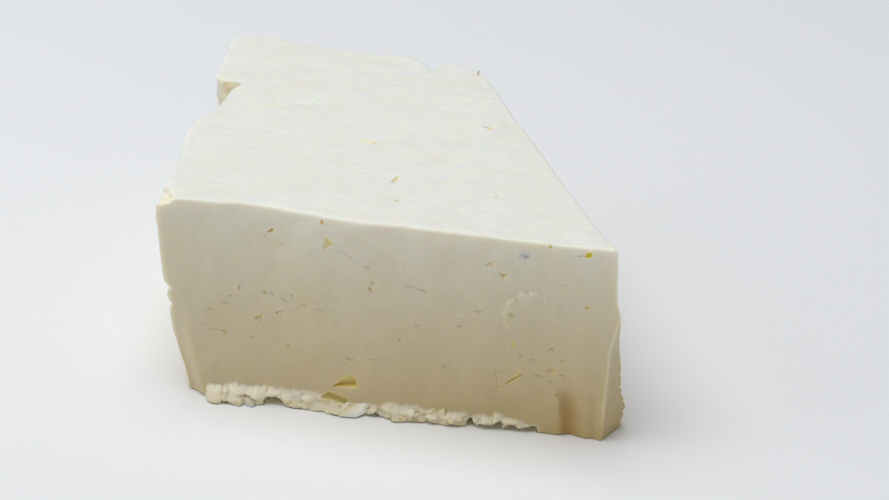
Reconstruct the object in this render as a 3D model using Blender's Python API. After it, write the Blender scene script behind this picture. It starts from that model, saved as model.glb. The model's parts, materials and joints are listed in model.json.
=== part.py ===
"""A block of pressed frying cheese, cut across one corner and lying on its flat base.

Sizes are named in millimetres and turned to metres where each mesh is made. While it is modelled,
X runs along the front face from its left corner, Y goes back and Z goes up from the base.
"""

import math
import random

import bmesh
import bpy
from mathutils import Euler, Matrix, Vector, noise

MM = 0.001

# The block as it left the press mould, with its corners in plan.
BLOCK_HEIGHT = 47.5
FRONT_LEFT = Vector((-2.1, 0.4, 0.0))
FRONT_RIGHT = Vector((100.2, -0.3, 0.0))
CUT_BACK = Vector((54.6, 86.0, 0.0))
BACK_LEFT = Vector((-7.5, 97.8, 0.0))
HEART = Vector((42.0, 44.0, 0.0))
TOP_EDGE_RADIUS = 0.9
BASE_EDGE_RADIUS = 0.5

# How the four faces leave the plane: hollows are negative and swellings positive.
FRONT_HOLLOW = -2.9
FRONT_FOOT_SPREAD = 2.6
FRONT_LEFT_DRAW = -2.6
FOOT_FOLD_DEPTH = -0.9
CUT_HOLLOW = -0.6
CUT_FOOT_FLARE = 6.8
CUT_FOOT_BULGE = 1.3
BACK_SWELLING = 3.6
BACK_LEFT_STEP = 1.2
LEFT_UNDERCUT = -5.6
LEFT_BACK_LOBE = 5.2
LEFT_FRONT_LOBE = 1.7
LEFT_NICK_DEPTH = -1.2
FACE_GRAIN = 0.45
TOP_GRAIN = 0.35

# The lumps of the torn lip at the foot of the front face, where curd squeezed out under the mould:
# from and to along the face, height and how far each stands out.
LIP_LUMPS = (
    (8.4, 13.6, 3.3, 2.5),
    (12.4, 18.2, 4.2, 2.9),
    (17.2, 22.8, 4.2, 3.1),
    (21.4, 26.8, 4.3, 1.3),
    (25.4, 31.4, 4.4, 1.8),
    (30.0, 36.9, 4.2, 2.2),
    (35.4, 41.4, 2.8, 2.4),
    (44.6, 50.6, 3.0, 0.9),
    (49.0, 57.9, 3.9, 2.0),
    (56.0, 62.6, 3.6, 1.3),
    (61.6, 68.7, 3.5, 1.2),
    (68.9, 74.4, 3.3, 1.1),
    (74.0, 76.0, 4.0, 1.2),
    (75.6, 80.8, 3.2, 1.2),
    (80.2, 84.6, 2.2, 0.9),
)

# How finely each face is divided along its length, and the heights of the rings round the block.
FRONT_STEPS, CUT_STEPS, BACK_STEPS, LEFT_STEPS = 50, 26, 24, 34
RING_HEIGHTS = (0.0, 0.6, 1.9, 3.2, 4.3, 7.0, 10.5, 15.0, 19.5)
RING_HEIGHTS += (22.0, 24.0, 26.0, 29.5, 33.5, 38.0, 42.5, 45.6)
CAP_SHARES = (0.94, 0.82, 0.64, 0.42, 0.20)

# The torn places: a step in the left face, a bite in the back edge, and its small nicks.
STEP_PLAN = ((-30.0, 46.5), (-3.6, 47.1), (-3.0, 57.0), (-2.6, 65.5), (-1.2, 68.0), (-30.0, 67.4))
STEP_FLOOR = 6.0
BITE_PLAN = ((31.0, 102.0), (34.0, 93.6), (39.1, 88.8), (40.7, 84.9))
BITE_PLAN += ((41.9, 84.0), (42.5, 86.2), (41.8, 91.4), (42.4, 102.0))
BITE_FLOOR = 21.0
NICK_PLAN = ((48.2, 94.0), (50.5, 87.0), (51.1, 87.2), (51.4, 94.0))
CORNER_PLAN = ((52.5, 94.0), (52.7, 85.5), (54.2, 84.5), (66.0, 84.5), (66.0, 94.0))
NICK_FLOOR = 34.0
# The facet where the right foot turns back: its plan at the base, where it bends and where it runs out.
FACET_LOW = ((98.0, -20.0), (98.0, 0.6), (102.4, 10.2), (120.0, 10.2), (120.0, -20.0))
FACET_BEND = ((99.3, -20.0), (99.3, -0.3), (102.0, 5.6), (120.0, 5.6), (120.0, -20.0))
FACET_HIGH = ((101.7, -20.0), (101.7, -0.6), (102.6, 1.4), (120.0, 1.4), (120.0, -20.0))
FACET_BEND_UP, FACET_TOP = 23.0, 34.0
# The chips off the rims: across, back, length, width and height.
CHIPS = {
    "left_corner": (-2.6, 3.6, 8.6, 8.6, 5.4),
    "front_rim": (24.9, 2.5, 3.0, 2.4, 1.6),
    "cut_rim": (86.6, 24.4, 2.0, 2.2, 1.4),
    "left_nick": (-5.2, 24.6, 2.6, 4.0, 3.0),
}

# The eyes and slits in the front face: along it, up it, width, height, depth and tilt in degrees.
FRONT_EYES = {
    "rim_slot": (23.4, 41.8, 1.7, 0.9, 1.2, 45),
    "arrow": (36.5, 41.0, 2.2, 2.4, 1.1, -40),
    "tall": (46.5, 32.1, 0.9, 3.4, 1.2, -19),
    "broad": (22.5, 26.6, 2.6, 1.3, 1.0, 6),
    "low_slit": (20.4, 20.6, 2.6, 1.1, 1.1, 33),
    "crossed": (25.2, 22.4, 2.2, 0.8, 0.9, 33),
    "upper_slit": (72.4, 41.2, 2.5, 1.1, 1.1, 38),
    "wing": (75.4, 38.5, 1.9, 1.3, 1.1, 0),
    "rim_eye": (93.9, 45.9, 1.2, 1.0, 1.3, 0),
    "corner_eye": (77.9, 22.0, 1.1, 1.3, 1.1, -15),
}
# The slits in the top face: across, back, length, width, depth and turn in degrees.
TOP_EYES = {
    "middle_slit": (36.2, 41.6, 4.4, 1.6, 1.4, -17),
    "front_slit": (46.7, 23.2, 1.4, 3.9, 1.4, -10),
    "cut_slit": (61.6, 54.8, 2.4, 1.2, 1.2, -16),
}
# The pockets by the foot of the front face, each as a mouth before the face and a smaller floor in it.
POCKETS = {
    "flake": (
        ((74.0, -1.0, 14.8), (79.7, -1.0, 15.8), (80.2, -1.0, 14.6)),
        ((77.3, -1.0, 12.1), (74.6, -1.0, 9.1)),
        ((74.3, 0.7, 14.6), (79.4, 0.6, 15.5), (79.8, 0.4, 14.6)),
        ((77.1, 0.3, 12.4), (74.8, 0.1, 9.6)),
    ),
    "cave": (
        ((35.9, -2.0, 5.8), (43.9, -2.0, 6.3), (42.8, -2.0, 9.4), (41.3, -2.0, 9.9)),
        ((38.4, 1.4, 5.9), (43.0, 2.4, 6.4), (42.2, 1.9, 8.7), (41.4, 1.5, 9.0)),
    ),
    "crevice": (
        ((33.8, -4.0, 3.0), (36.7, -4.0, 5.0), (41.6, -4.0, 3.6), (40.9, -4.0, 1.5), (38.4, -4.0, 1.4)),
        ((35.4, 1.6, 3.0), (36.9, 2.4, 4.4), (40.9, 2.4, 3.3), (40.6, 1.6, 1.9), (38.8, 0.6, 2.0)),
    ),
}

# The crumbs at the foot, sunk in the lip: how many along each face, their radii, rise and sinking.
CRUMB_SEED = 12
CRUMBS = {"front": 30, "cut": 5, "back": 7, "left": 7}
CRUMB_SMALL, CRUMB_LARGE = 0.8, 1.5
CRUMB_RISE = 3.0
CRUMB_SUNK = 0.55
CRUMB_CORNERS = 10
TRAY_GAP = 0.12
# The stretches of the front foot where no crumb lies.
BARE_FOOT = ((22.2, 25.8), (33.4, 44.0), (67.4, 74.2))
# The tooth of curd that leans out of the foot under the cave: its corners, across, back and up.
TOOTH = ((40.9, 0.3, 2.7), (45.2, 0.35, 2.9), (43.6, -2.2, 0.4), (39.6, -2.5, 0.4))
TOOTH += ((46.4, 0.6, 1.2), (45.6, 0.4, 0.5), (41.0, 1.6, 2.7), (45.6, 1.6, 2.9))
TOOTH += ((41.0, 1.6, 0.5), (45.4, 1.6, 0.5))
# The places where the foot arches clear of the tray: along the front face, width and height.
ARCHES = ((24.2, 4.8, 2.1), (47.0, 3.6, 0.9), (68.8, 2.0, 2.1), (71.9, 5.8, 1.3))
ARCHES += ((74.9, 2.4, 2.3), (78.3, 5.8, 1.5), (82.4, 4.4, 1.7), (13.4, 2.2, 0.9))


def bump(at, centre, width):
    return math.exp(-(((at - centre) / width) ** 2))


def rise(at, low, high):
    share = min(1.0, max(0.0, (at - low) / (high - low)))
    return share * share * (3.0 - 2.0 * share)


def grain(point, size, seed):
    return noise.noise(Vector(point) / size + Vector((seed, 2.7 * seed, -1.3 * seed)))


def front_swell(along, height):
    """The front face hollows near its left end, and the flare of the cut leaves it in its plane."""
    up = height / BLOCK_HEIGHT
    hollow = FRONT_HOLLOW * bump(along, 20.0, 15.0) * (0.25 + 0.75 * up)
    slope = -1.2 * (1.0 - along / 100.0)
    spread = FRONT_FOOT_SPREAD * (1.0 - up) ** 2 * max(-0.25, 1.0 - 1.7 * along / 100.0)
    left_draw = FRONT_LEFT_DRAW * (1.0 - rise(along, 0.3, 4.6)) * (1.0 - rise(height, 5.0, 26.0))
    in_plane = 0.46 * cut_flare(height) * along / 100.0
    return hollow + slope + spread + left_draw + in_plane


def foot_relief(x, height):
    """The lumps of the torn lip, and the fold in the face beside the right foot."""
    along = x + 0.12 * (height - 5.0)
    fold = FOOT_FOLD_DEPTH * rise(along, 88.4, 89.8) * (1.0 - rise(along, 90.4, 94.2))
    fold += 0.4 * FOOT_FOLD_DEPTH * bump(x, 96.2, 0.8)
    fold *= 1.0 - rise(height, 9.0, 14.0)
    proud = 0.0
    for start, end, top, out in LIP_LUMPS:
        across = (x - 0.5 * (start + end)) / (0.5 * (end - start))
        if abs(across) < 1.0:
            ledge = top + 0.6 * grain((x, 0.0, 0.0), 1.9, 32.0)
            lump = out * (1.0 - abs(across) ** 3) ** 0.7 * max(0.0, 1.0 - (height / ledge) ** 1.8)
            proud = max(proud, lump * (1.0 + 0.35 * grain((x, 0.0, height), 3.2, 33.0)))
    return fold + proud


def cut_flare(height):
    return CUT_FOOT_FLARE * (1.0 - rise(height, -4.0, 43.0))


def cut_swell(along, height):
    """The knife went down a little hollow, and the foot flared out and bulged beside the front corner."""
    hollow = CUT_HOLLOW * math.sin(math.pi * min(1.0, along / 95.0))
    bulge = CUT_FOOT_BULGE * bump(height, 4.8, 3.4) * bump(along, 8.0, 9.0)
    return hollow + cut_flare(height) * (0.2 + 0.8 * bump(along, 0.0, 24.0)) + bulge


def back_swell(along, height):
    """The back face swells in its middle, breaks into teeth towards the cut and steps out at the left."""
    swell = BACK_SWELLING * bump(along, 21.0, 8.5) + BACK_LEFT_STEP * rise(along, 53.5, 56.5)
    teeth = 3.4 * bump(along, 9.0, 2.4) + 2.6 * bump(along, 2.6, 1.6)
    fade = rise(height, 12.0, 40.0)
    return swell + teeth * (0.35 + 0.65 * fade) - 2.0 * (1.0 - height / BLOCK_HEIGHT) ** 2


def left_swell(along, height):
    """The left face is two lobes of curd, and it draws in towards the base."""
    back_lobe = (LEFT_BACK_LOBE - 0.075 * along) * rise(along, 0.0, 4.0) * (1.0 - rise(along, 28.5, 33.0))
    front_lobe = LEFT_FRONT_LOBE * rise(along, 51.0, 54.0) * (1.0 - rise(along, 62.0, 80.0))
    undercut = LEFT_UNDERCUT * (1.0 - height / BLOCK_HEIGHT) ** 2
    nicks = LEFT_NICK_DEPTH * (0.8 * bump(height, 26.0, 0.9) + 0.45 * bump(height, 21.9, 0.7))
    nicks += 0.45 * LEFT_NICK_DEPTH * (bump(height, 22.6, 3.4) + bump(height, 2.0, 6.0))
    return back_lobe + front_lobe + undercut + nicks * bump(along, 97.0, 12.0)


FACES = (
    (FRONT_LEFT, FRONT_RIGHT, front_swell, FRONT_STEPS),
    (FRONT_RIGHT, CUT_BACK, cut_swell, CUT_STEPS),
    (CUT_BACK, BACK_LEFT, back_swell, BACK_STEPS),
    (BACK_LEFT, FRONT_LEFT, left_swell, LEFT_STEPS),
)


def outward(start, end):
    run = (end - start).normalized()
    return Vector((run.y, -run.x, 0.0))


def face_point(index, along, height):
    """A point on a face, where each of its corners has been moved by the face beyond it."""
    start, end, swell, _ = FACES[index]
    before, after = FACES[index - 1], FACES[(index + 1) % 4]
    before_length = (before[1] - before[0]).length
    start_moved = start + outward(before[0], before[1]) * before[2](before_length, height)
    end_moved = end + outward(after[0], after[1]) * after[2](0.0, height)
    spot = start_moved.lerp(end_moved, along / (end - start).length)
    spot.z = height
    relief = FACE_GRAIN * (grain(spot, 11.0, 3.0) + 0.5 * grain(spot, 4.5, 7.0))
    foot = foot_relief(spot.x, height) if index == 0 else 0.0
    return spot + outward(start, end) * (swell(along, height) + relief + foot)


def ring_points(height):
    """One closed ring round the block."""
    points = []
    for index, (start, end, _, steps) in enumerate(FACES):
        length = (end - start).length
        points += [face_point(index, length * step / steps, height) for step in range(steps)]
    return points


def drawn_in(points, inset):
    """A ring moved towards the heart of the block, for the rounded rims."""
    return [point + (HEART - Vector((point.x, point.y, 0.0))).normalized() * inset for point in points]


def top_height(x, y):
    spot = (x, y, 0.0)
    return BLOCK_HEIGHT + TOP_GRAIN * (grain(spot, 26.0, 5.0) + 0.35 * grain(spot, 8.0, 9.0))


def block_mesh():
    """Rings up the sides, then smaller rings across the top and the base to the heart."""
    rings = []
    for height in RING_HEIGHTS:
        inset = BASE_EDGE_RADIUS if height == 0.0 else 0.0
        rings.append(drawn_in(ring_points(height), inset))
    rim = ring_points(BLOCK_HEIGHT)
    for drop, inset in ((0.62, 0.0), (0.24, 0.28), (0.0, TOP_EDGE_RADIUS)):
        ring = drawn_in(rim, inset * TOP_EDGE_RADIUS)
        rings.append([Vector((p.x, p.y, top_height(p.x, p.y) - drop * TOP_EDGE_RADIUS)) for p in ring])
    last = rings[-1]
    for share in CAP_SHARES:
        ring = [HEART.lerp(Vector((p.x, p.y, 0.0)), share) for p in last]
        rings.append([Vector((p.x, p.y, top_height(p.x, p.y))) for p in ring])
    mesh = bmesh.new()
    rows = [[mesh.verts.new(point * MM) for point in ring] for ring in rings]
    count = len(rows[0])
    for low, high in zip(rows, rows[1:]):
        for i in range(count):
            j = (i + 1) % count
            mesh.faces.new((low[i], low[j], high[j], high[i]))
    crown = mesh.verts.new(Vector((HEART.x, HEART.y, top_height(HEART.x, HEART.y))) * MM)
    inner = [mesh.verts.new(HEART.lerp(point, 0.6) * MM) for point in rings[0]]
    middle = mesh.verts.new(HEART * MM)
    for i in range(count):
        j = (i + 1) % count
        mesh.faces.new((rows[-1][i], rows[-1][j], crown))
        mesh.faces.new((inner[i], inner[j], rows[0][j], rows[0][i]))
        mesh.faces.new((middle, inner[j], inner[i]))
    bmesh.ops.recalc_face_normals(mesh, faces=mesh.faces)
    return mesh


def new_object(name, mesh, collection):
    bmesh.ops.triangulate(mesh, faces=mesh.faces)
    data = bpy.data.meshes.new(name)
    mesh.to_mesh(data)
    mesh.free()
    made = bpy.data.objects.new(name, data)
    collection.objects.link(made)
    return made


def as_helper(name, mesh, collection):
    """A solid that is cut out of the block or joined to it, and isn't rendered itself."""
    bmesh.ops.recalc_face_normals(mesh, faces=mesh.faces)
    made = new_object(name, mesh, collection)
    made.hide_render = True
    made.display_type = "WIRE"


def placed(mesh, centre, size, turn):
    """Sizes, turns and places a mesh of about unit radius, in millimetres."""
    scale = Matrix.Diagonal(Vector(size) * 0.5).to_4x4()
    place = Matrix.Translation(Vector(centre)) @ turn.to_matrix().to_4x4() @ scale
    bmesh.ops.transform(mesh, matrix=Matrix.Diagonal((MM, MM, MM, 1.0)) @ place, verts=mesh.verts)


def pebble(name, centre, size, turn, collection, roughness=0.22, seed=1.0):
    """An uneven ball: an eye left by gas and whey, a chip off a rim, or an arch under the foot."""
    mesh = bmesh.new()
    bmesh.ops.create_icosphere(mesh, subdivisions=2, radius=1.0)
    for vert in mesh.verts:
        vert.co *= 1.0 + roughness * grain(vert.co, 0.9, seed)
    placed(mesh, centre, size, turn)
    as_helper(name, mesh, collection)


def crumb(name, centre, size, turn, collection, chance):
    """An angular crumb: the hull of a few points scattered on a ball, pressed flat on the tray."""
    mesh = bmesh.new()
    for _ in range(CRUMB_CORNERS):
        mesh.verts.new(Vector([chance.gauss(0.0, 1.0) for _ in range(3)]).normalized())
    bmesh.ops.convex_hull(mesh, input=mesh.verts)
    placed(mesh, centre, size, turn)
    gap = TRAY_GAP + chance.uniform(0.0, 0.4)
    for vert in mesh.verts:
        vert.co.z = max(vert.co.z, gap * MM)
    as_helper(name, mesh, collection)


def prism(name, low_plan, high_plan, low, high, collection):
    """A straight cutter from its plan at the foot to its plan at the head."""
    mesh = bmesh.new()
    rows = []
    for height, plan in ((low, low_plan), (high, high_plan)):
        rows.append([mesh.verts.new(Vector((x, y, height)) * MM) for x, y in plan])
    mesh.faces.new(rows[0])
    mesh.faces.new(rows[1])
    for i in range(len(low_plan)):
        j = (i + 1) % len(low_plan)
        mesh.faces.new((rows[0][i], rows[0][j], rows[1][j], rows[1][i]))
    as_helper(name, mesh, collection)


def shrunk(plan, share):
    """A plan drawn in towards its own middle."""
    middle_x = sum(x for x, _ in plan) / len(plan)
    middle_y = sum(y for _, y in plan) / len(plan)
    return [(middle_x + share * (x - middle_x), middle_y + share * (y - middle_y)) for x, y in plan]


def front_back(x, height):
    """How far back the front face lies at this place along it and up it."""
    low, high = 0.0, 101.0
    for _ in range(18):
        middle = (low + high) / 2
        low, high = (middle, high) if face_point(0, middle, height).x < x else (low, middle)
    return face_point(0, low, height).y


def hull(name, corners, collection):
    """The flat-sided solid around a few corners."""
    mesh = bmesh.new()
    for corner in corners:
        mesh.verts.new(Vector(corner) * MM)
    bmesh.ops.convex_hull(mesh, input=mesh.verts)
    spare = [vert for vert in mesh.verts if not vert.link_faces]
    bmesh.ops.delete(mesh, geom=spare, context="VERTS")
    as_helper(name, mesh, collection)


def new_collection(name):
    made = bpy.data.collections.new(name)
    bpy.context.scene.collection.children.link(made)
    return made


def add_boolean(operation, others):
    """Cuts or joins a whole collection of helpers."""
    modifier = block.modifiers.new(others.name, "BOOLEAN")
    modifier.operation = operation
    modifier.operand_type = "COLLECTION"
    modifier.collection = others
    modifier.solver = "EXACT"


for old in list(bpy.data.objects):
    bpy.data.objects.remove(old, do_unlink=True)
cheese = new_collection("Frying cheese")
torn = new_collection("Torn places")
loose = new_collection("Foot curds")
arches = new_collection("Foot arches")

block = new_object("cheese_block", block_mesh(), cheese)

# The step in the left face, the bite and nicks in the back edge, and the facet of the right foot.
prism("step", shrunk(STEP_PLAN, 0.85), STEP_PLAN, STEP_FLOOR, BLOCK_HEIGHT + 3.0, torn)
prism("bite", shrunk(BITE_PLAN, 0.7), BITE_PLAN, BITE_FLOOR, BLOCK_HEIGHT + 3.0, torn)
prism("nick", shrunk(NICK_PLAN, 0.7), NICK_PLAN, NICK_FLOOR, BLOCK_HEIGHT + 3.0, torn)
prism("corner", CORNER_PLAN, CORNER_PLAN, NICK_FLOOR, BLOCK_HEIGHT + 3.0, torn)
prism("facet", FACET_LOW, FACET_BEND, -1.0, FACET_BEND_UP, torn)
prism("facet_top", FACET_BEND, FACET_HIGH, FACET_BEND_UP - 0.05, FACET_TOP, torn)
for name, (x, y, long, wide, tall) in CHIPS.items():
    pebble(name, (x, y, BLOCK_HEIGHT + 0.3), (long, wide, tall), Euler((0.0, 0.0, 0.4)), torn, seed=x)

# The eyes and slits that the knife opened in the front face and the mould left in the top.
for index, (name, (x, z, wide, tall, deep, tilt)) in enumerate(FRONT_EYES.items()):
    centre = (x, front_back(x, z), z)
    turn = Euler((0.0, math.radians(-tilt), 0.0))
    pebble(name, centre, (wide, deep * 1.7, tall), turn, torn, 0.35, 20.0 + index)
for index, (name, (x, y, long, wide, deep, turned)) in enumerate(TOP_EYES.items()):
    centre = (x, y, top_height(x, y) - 0.1 * deep)
    turn = Euler((0.0, 0.0, math.radians(turned)))
    pebble(name, centre, (long, wide, 1.6 * deep), turn, torn, 0.3, 40.0 + index)
for name, rows in POCKETS.items():
    hull(name, [(x, front_back(x, z) + y, z) for row in rows for x, y, z in row], torn)

# The crumbs along the foot, and the tooth under the cave.
chance = random.Random(CRUMB_SEED)
for index, side in enumerate(CRUMBS):
    start, end, _, _ = FACES[index]
    length = (end - start).length
    for number in range(CRUMBS[side]):
        share = (number + chance.uniform(0.1, 0.9)) / CRUMBS[side]
        radius = chance.uniform(CRUMB_SMALL, CRUMB_LARGE)
        up = chance.uniform(0.15, 1.0) * CRUMB_RISE
        if side == "front":
            along = 7.0 + 72.0 * share
            shrink = 1.0 - 0.45 * rise(along, 55.0, 78.0)
        else:
            along = length * (0.05 + 0.9 * share)
            shrink = 0.7
        radius *= shrink
        up *= shrink
        spot = face_point(index, along, up) - outward(start, end) * CRUMB_SUNK * radius
        if side == "front" and any(start_x < spot.x < end_x for start_x, end_x in BARE_FOOT):
            continue
        turn = Euler([chance.uniform(0.0, 3.1) for _ in range(3)])
        size = (2.3 * radius, 1.9 * radius, 1.6 * radius)
        crumb(f"crumb_{side}_{number}", (spot.x, spot.y, up), size, turn, loose, chance)
hull("tooth", TOOTH, loose)

# The arches under the foot.
for index, (x, wide, tall) in enumerate(ARCHES):
    centre = (x, front_back(x, 1.0) + 1.0, 0.0)
    pebble(f"arch_{index}", centre, (wide, 9.0, 2.0 * tall), Euler(), arches, 0.3, 61.0 + index)

add_boolean("DIFFERENCE", torn)
add_boolean("UNION", loose)
add_boolean("DIFFERENCE", arches)
graph = bpy.context.evaluated_depsgraph_get()
shape = bpy.data.meshes.new_from_object(block.evaluated_get(graph))
block.modifiers.clear()
block.data = shape
for helper in list(torn.objects) + list(loose.objects) + list(arches.objects):
    bpy.data.objects.remove(helper, do_unlink=True)

# Tidy the joined solid, keep its one outer skin, and set it down over the origin.
mesh = bmesh.new()
mesh.from_mesh(shape)
bmesh.ops.remove_doubles(mesh, verts=mesh.verts, dist=0.000005)
bmesh.ops.dissolve_degenerate(mesh, edges=mesh.edges, dist=0.000005)
bmesh.ops.triangulate(mesh, faces=mesh.faces)
low = Vector([min(v.co[i] for v in mesh.verts) for i in range(3)])
high = Vector([max(v.co[i] for v in mesh.verts) for i in range(3)])
middle = (low + high) / 2
bmesh.ops.translate(mesh, vec=Vector((-middle.x, -middle.y, -low.z)), verts=mesh.verts)
mesh.to_mesh(shape)
mesh.free()
for face in shape.polygons:
    face.use_smooth = True

curd = bpy.data.materials.new("pressed_curd")
curd.use_nodes = True
surface = curd.node_tree.nodes["Principled BSDF"]
surface.inputs["Base Color"].default_value = (0.80, 0.77, 0.67, 1.0)
surface.inputs["Roughness"].default_value = 0.55
shape.materials.clear()
shape.materials.append(curd)
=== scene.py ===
"""A block of pressed frying cheese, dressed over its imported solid, with its floor, lights and camera."""

import json
import math
import random

import bmesh
import bpy
import numpy as np
from mathutils import Euler, Matrix, Vector, noise
from mathutils.bvhtree import BVHTree

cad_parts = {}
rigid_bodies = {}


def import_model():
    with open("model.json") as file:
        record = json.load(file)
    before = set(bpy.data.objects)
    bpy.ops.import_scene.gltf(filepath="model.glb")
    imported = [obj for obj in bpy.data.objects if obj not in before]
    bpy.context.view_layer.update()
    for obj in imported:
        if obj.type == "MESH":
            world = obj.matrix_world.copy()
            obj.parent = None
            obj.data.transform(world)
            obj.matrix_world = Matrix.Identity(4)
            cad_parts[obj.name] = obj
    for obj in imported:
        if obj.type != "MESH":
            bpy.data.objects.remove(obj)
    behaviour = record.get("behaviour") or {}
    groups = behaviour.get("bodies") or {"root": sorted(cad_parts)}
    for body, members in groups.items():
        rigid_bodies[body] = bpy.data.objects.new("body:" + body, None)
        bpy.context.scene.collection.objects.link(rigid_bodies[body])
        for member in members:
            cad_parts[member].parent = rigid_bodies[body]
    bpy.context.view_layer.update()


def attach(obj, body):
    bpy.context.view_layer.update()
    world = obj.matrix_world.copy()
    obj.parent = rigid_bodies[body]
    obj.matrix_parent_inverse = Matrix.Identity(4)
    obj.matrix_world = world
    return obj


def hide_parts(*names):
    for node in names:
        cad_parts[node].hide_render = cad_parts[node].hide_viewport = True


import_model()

# ---------------------------------------------------------------- the pressed block
# Fresh curd is pressed in a square mould, set, and levelled with a wire. A knife cut the front face and
# took one corner off on the slant, so both are flat but never true. The left face broke away along its
# curds, and the foot spread while the block was soft.

MM = 0.001
# The plan is in mm: x runs along the front face, y back from it and z up from the tray. The frame's
# origin lies below the middle of the block, here:
PLAN_CENTRE = Vector((45.137, 47.998, 0.0))
BLOCK_HEIGHT = 47.5
FRONT_LEFT = Vector((-2.1, 0.4, 0.0))
FRONT_RIGHT = Vector((100.2, -0.3, 0.0))
CUT_BACK = Vector((54.6, 86.0, 0.0))
BACK_LEFT = Vector((-7.5, 97.8, 0.0))
HEART = Vector((42.0, 44.0, 0.0))
TOP_EDGE_RADIUS = 0.8
BASE_EDGE_RADIUS = 0.5
RIM_STEPS = 5
# How deep the waves are that the faces share, and those of the top.
FACE_GRAIN = 0.45
TOP_GRAIN = 0.35
# How far apart the points lie along each face, and the rows of them up it. Those on the cut stand closer
# towards the front, where more of it shows, and the rows stop short of the rounded rim.
FACE_SPACING = {"front": 0.36, "cut": 1.1, "back": 0.8, "left": 0.85}
ROW_SPACING = 0.44
CUT_BUNCH = 1.5
ROWS_STOP_SHORT = 1.6
# The rings that close the top, as shares of its outline.
CAP_SHARES = (0.985, 0.965, 0.94, 0.91, 0.87, 0.82, 0.76, 0.69, 0.61, 0.52, 0.42, 0.32, 0.22, 0.12)


def bump(at, centre, width):
    """A soft hill, 1 high at its centre and all but gone at twice its width from there."""
    return math.exp(-(((at - centre) / width) ** 2))


def rise(at, low, high):
    """0 up to low, 1 from high on, and a smooth step between them."""
    share = min(1.0, max(0.0, (at - low) / (high - low)))
    return share * share * (3.0 - 2.0 * share)


def grain(point, size, seed):
    """Smooth noise between -1 and 1, its lumps about this size in mm. Each seed gives another one."""
    return noise.noise(Vector(point) / size + Vector((seed, 2.7 * seed, -1.3 * seed)))


# Each swelling is named for what it does to its face, and is as deep as this in mm.
CUT_FLARE, FLARE_TOP = 6.8, 43.0


def cut_flare(height):
    """The foot of the slanting face stands out the most, and the flare dies away up it."""
    return CUT_FLARE * (1.0 - rise(height, -4.0, FLARE_TOP))


FRONT_RUN = 100.0
FRONT_HOLLOW, HOLLOW_PLACE, HOLLOW_REACH = 2.9, 20.0, 15.0
FRONT_SKEW, FOOT_SPREAD, LEFT_DRAW = 1.2, 2.6, 2.6


def front_swell(along, height):
    """The front face hollows near its left end, and the flare of the cut leaves it in its plane."""
    up = height / BLOCK_HEIGHT
    hollow = -FRONT_HOLLOW * bump(along, HOLLOW_PLACE, HOLLOW_REACH) * (0.25 + 0.75 * up)
    spread = FOOT_SPREAD * (1.0 - up) ** 2 * max(-0.25, 1.0 - 1.7 * along / FRONT_RUN)
    left_draw = -LEFT_DRAW * (1.0 - rise(along, 0.3, 4.6)) * (1.0 - rise(height, 5.0, 26.0))
    in_plane = 0.46 * cut_flare(height) * along / FRONT_RUN
    return hollow - FRONT_SKEW * (1.0 - along / FRONT_RUN) + spread + left_draw + in_plane


CUT_RUN = 95.0
CUT_BULGE, CUT_HOLLOW = 1.3, 0.6


def cut_swell(along, height):
    """The knife left the slanting face a little hollow, and its foot bulges beside the front face."""
    flare = cut_flare(height) * (0.2 + 0.8 * bump(along, 0.0, 24.0))
    bulge = CUT_BULGE * bump(height, 4.8, 3.4) * bump(along, 8.0, 9.0)
    return flare + bulge - CUT_HOLLOW * math.sin(math.pi * min(1.0, along / CUT_RUN))


# Two teeth of curd at the right end of the back face: place along it, width, how far out.
BACK_TEETH = ((9.0, 2.4, 3.4), (2.6, 1.6, 2.6))
BACK_BELLY, BACK_END, BACK_UNDERCUT = 3.6, 1.2, 2.0


def back_swell(along, height):
    """The back face has a belly around its bite, a step near its left end, and leans in to its foot."""
    teeth = sum(out * bump(along, place, width) for place, width, out in BACK_TEETH)
    teeth *= 0.35 + 0.65 * rise(height, 12.0, 40.0)
    swell = BACK_BELLY * bump(along, 21.0, 8.5) + BACK_END * rise(along, 53.5, 56.5)
    return swell + teeth - BACK_UNDERCUT * (1.0 - height / BLOCK_HEIGHT) ** 2


BACK_LOBE, LOBE_TAPER, FRONT_LOBE = 5.2, 0.075, 1.7
LEFT_UNDERCUT, NICK_DEPTH, DENT_DEPTH = 5.6, 1.2, 0.54
NICKS_PLACE, NICKS_REACH = 97.0, 12.0


def left_swell(along, height):
    """The left face broke into a lobe at the back and one in front, and its front edge is nicked."""
    lobes = (BACK_LOBE - LOBE_TAPER * along) * rise(along, 0.0, 4.0) * (1.0 - rise(along, 28.5, 33.0))
    lobes += FRONT_LOBE * rise(along, 51.0, 54.0) * (1.0 - rise(along, 62.0, 80.0))
    nicks = -NICK_DEPTH * (0.8 * bump(height, 26.0, 0.9) + 0.45 * bump(height, 21.9, 0.7))
    nicks -= DENT_DEPTH * (bump(height, 22.6, 3.4) + bump(height, 2.0, 6.0))
    lean = LEFT_UNDERCUT * (1.0 - height / BLOCK_HEIGHT) ** 2
    return lobes - lean + nicks * bump(along, NICKS_PLACE, NICKS_REACH)


FACES = (
    ("front", FRONT_LEFT, FRONT_RIGHT, front_swell),
    ("cut", FRONT_RIGHT, CUT_BACK, cut_swell),
    ("back", CUT_BACK, BACK_LEFT, back_swell),
    ("left", BACK_LEFT, FRONT_LEFT, left_swell),
)
# How rough each face tore or was cut, over the grain that all of them share: depth and size in mm.
FACE_TEAR = {"front": (0.13, 3.4), "cut": (0.12, 1.4), "back": (0.60, 2.8), "left": (0.55, 3.0)}
# The knife crumbled a patch of the cut beside its front edge, up to this height: depth, place, reach.
CRUMBLE_DEPTH, CRUMBLE_PLACE, CRUMBLE_REACH, CRUMBLE_TOP = 0.9, 9.0, 6.0, (28.0, 38.0)

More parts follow.
